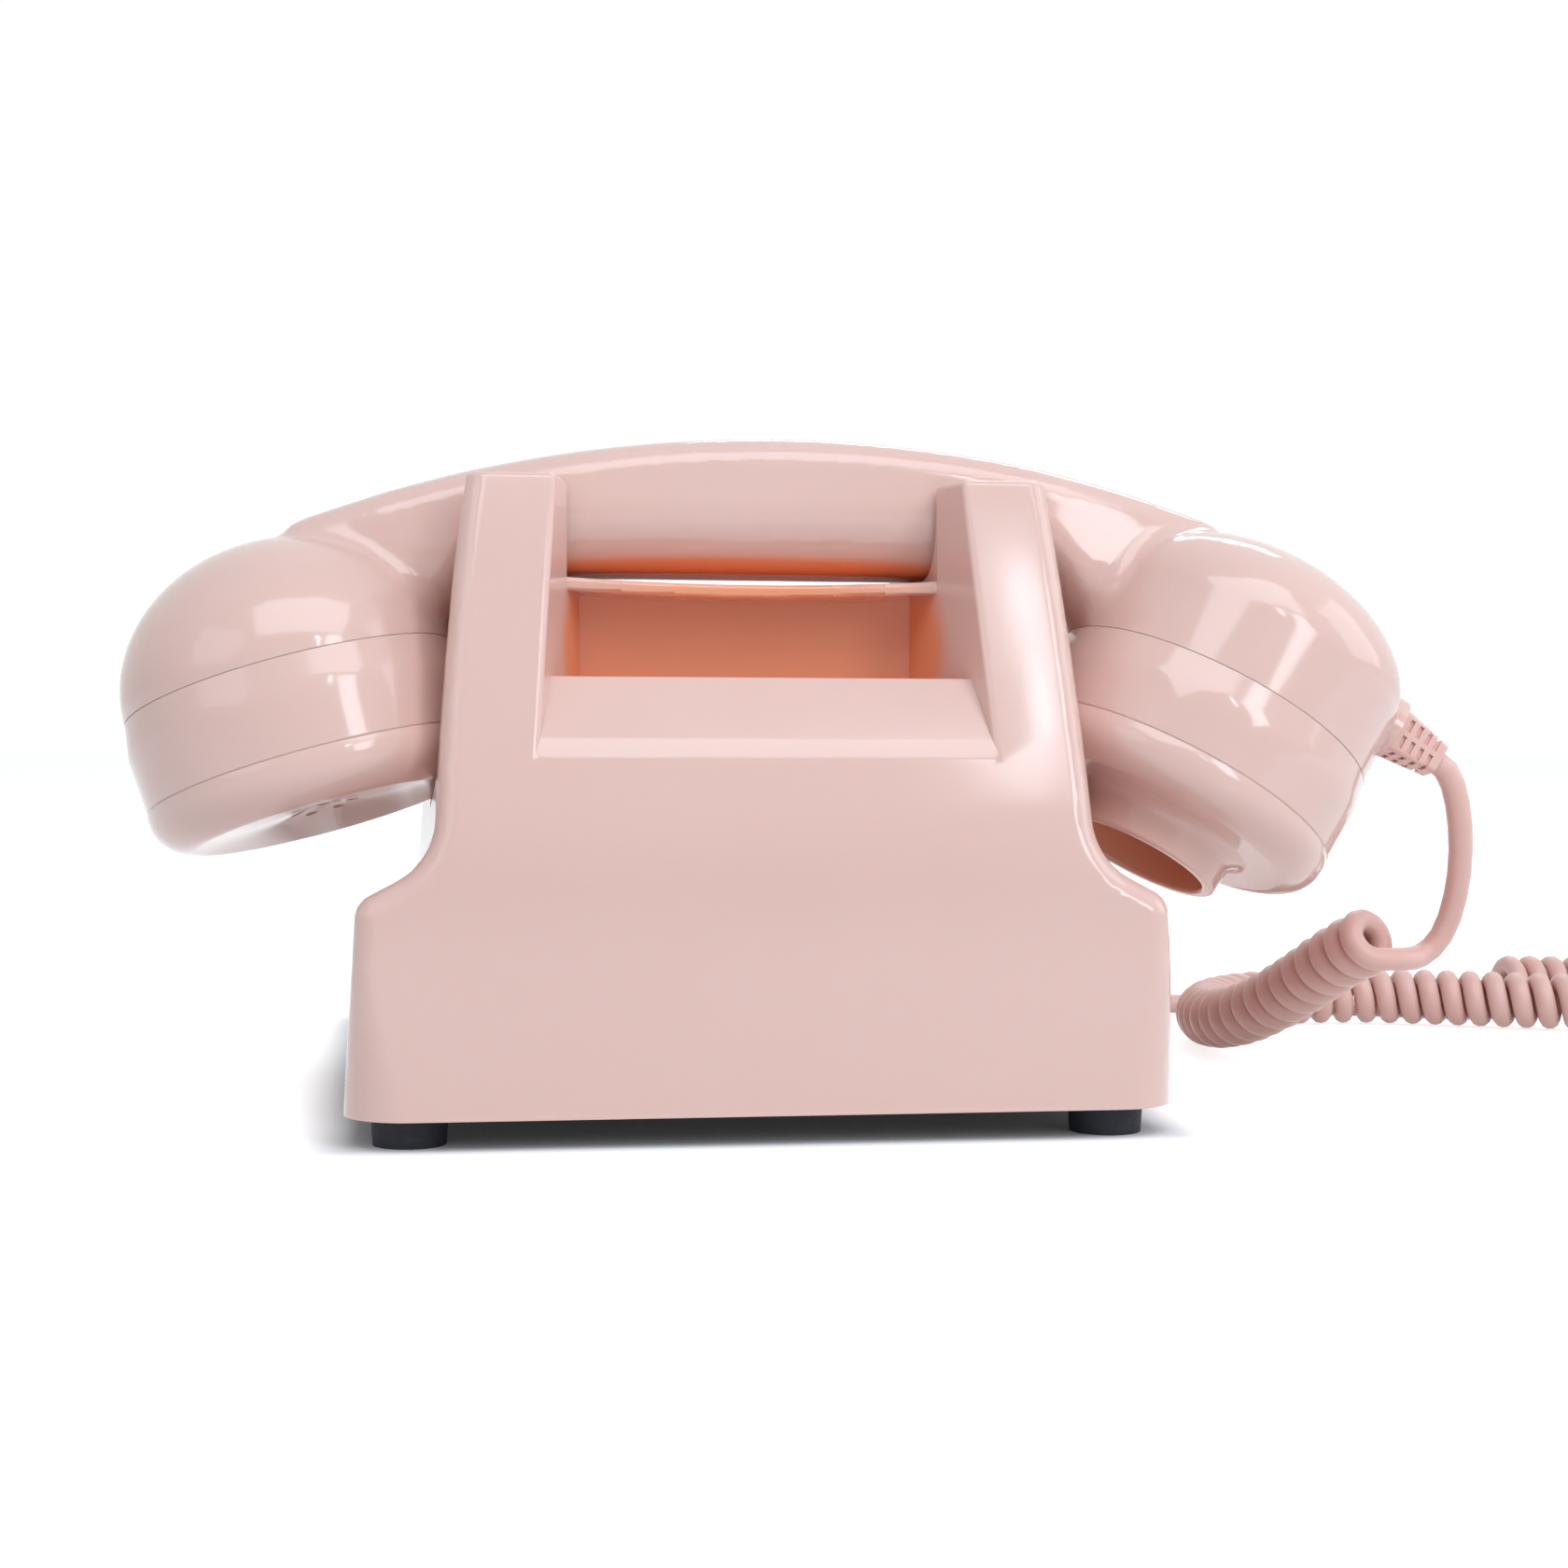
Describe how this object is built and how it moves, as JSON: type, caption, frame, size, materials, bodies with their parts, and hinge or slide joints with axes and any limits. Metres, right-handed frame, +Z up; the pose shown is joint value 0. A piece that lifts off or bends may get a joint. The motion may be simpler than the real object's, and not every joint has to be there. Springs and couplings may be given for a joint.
{
  "type": "desk telephone",
  "caption": "Upright desk telephone with a moulded case, two rear horns, a grip recess, a cradled handset, a rotary dial and a curly handset cord.",
  "frame": {"origin": "on the desk, under the middle of the base", "axes": "+Z up, +Y to the rear of the telephone, +X to the left seen from behind (the ear end of the handset)"},
  "size_m": [0.364, 0.196, 0.1224],
  "materials": {
    "pink_abs": "glossy moulded ABS",
    "pink_cord": "satin PVC cord",
    "black_rubber": "moulded rubber",
    "steel": "zinc plated steel",
    "chrome": "chrome plate",
    "brass": "plain brass",
    "ivory": "printed plastic",
    "dark_plastic": "moulded plastic",
    "board_green": "fibreglass board",
    "copper_coil": "enamelled copper winding",
    "clear_plug": "clear moulded plug"
  },
  "bodies": {
    "base": {"base_plate": "dark_plastic", "base_screws": "steel", "board_components": "dark_plastic", "board_standoffs": "brass", "case_shell": "pink_abs", "circuit_board": "board_green", "clapper_pin": "steel", "cord_curls": "pink_cord", "cord_lead": "pink_cord", "cord_plug": "clear_plug", "cord_tail": "pink_cord", "dial_housing": "pink_abs", "dial_spring": "steel", "finger_stop": "chrome", "gong_posts": "steel", "gong_screws": "steel", "governor_cup": "steel", "handset_socket": "dark_plastic", "hook_bushes": "dark_plastic", "hook_spring": "steel", "left_gong": "brass", "line_socket": "dark_plastic", "number_plate": "ivory", "right_gong": "brass", "ringer_bracket": "steel", "ringer_coil": "copper_coil", "rubber_feet": "black_rubber", "spring_post": "dark_plastic"},
    "handset": {"handset_body": "pink_abs", "ear_ring": "pink_abs", "mouth_ring": "pink_abs", "ear_cap": "pink_abs", "mouth_cap": "pink_abs", "receiver_capsule": "dark_plastic", "transmitter_capsule": "dark_plastic", "handset_wires": "pink_cord", "strain_relief": "pink_cord"},
    "dial_rotor": {"finger_wheel": "chrome", "dial_hub_cap": "ivory", "dial_shaft": "steel", "dial_gear": "brass"},
    "governor_rotor": {"governor": "brass"},
    "hook": {"hook_plungers": "pink_abs", "hook_bar": "steel"},
    "bell_clapper": {"clapper": "steel"}
  },
  "joints": [
    {"name": "handset_lift", "type": "slide", "parent": "base", "child": "handset", "axis": [0, 0, 1], "range_m": [0, 0.09]},
    {"name": "hook_rise", "type": "slide", "parent": "base", "child": "hook", "axis": [0, 0, 1], "range_m": [0, 0.005], "deforming": ["hook_spring"]},
    {"name": "dial_turn", "type": "hinge", "parent": "base", "child": "dial_rotor", "pos_m": [0, -0.0423, 0.062], "axis": [0, 0.5, -0.866], "range_deg": [0, 325], "stiffness_Nm_per_rad": 0.004},
    {"name": "governor_spin", "type": "hinge", "parent": "base", "child": "governor_rotor", "pos_m": [0, -0.02281, 0.07325], "axis": [0, 0.5, -0.866], "range_deg": [-1310, 5]},
    {"name": "clapper_swing", "type": "hinge", "parent": "base", "child": "bell_clapper", "pos_m": [0, 0.062, 0.033], "axis": [0, 0, 1], "range_deg": [-2.8, 2.8], "stiffness_Nm_per_rad": 0.002}
  ],
  "couplings": [
    {"joint": "hook_rise", "follows": "handset_lift", "ratio": 0.0555},
    {"joint": "governor_spin", "follows": "dial_turn", "ratio": -4}
  ]
}
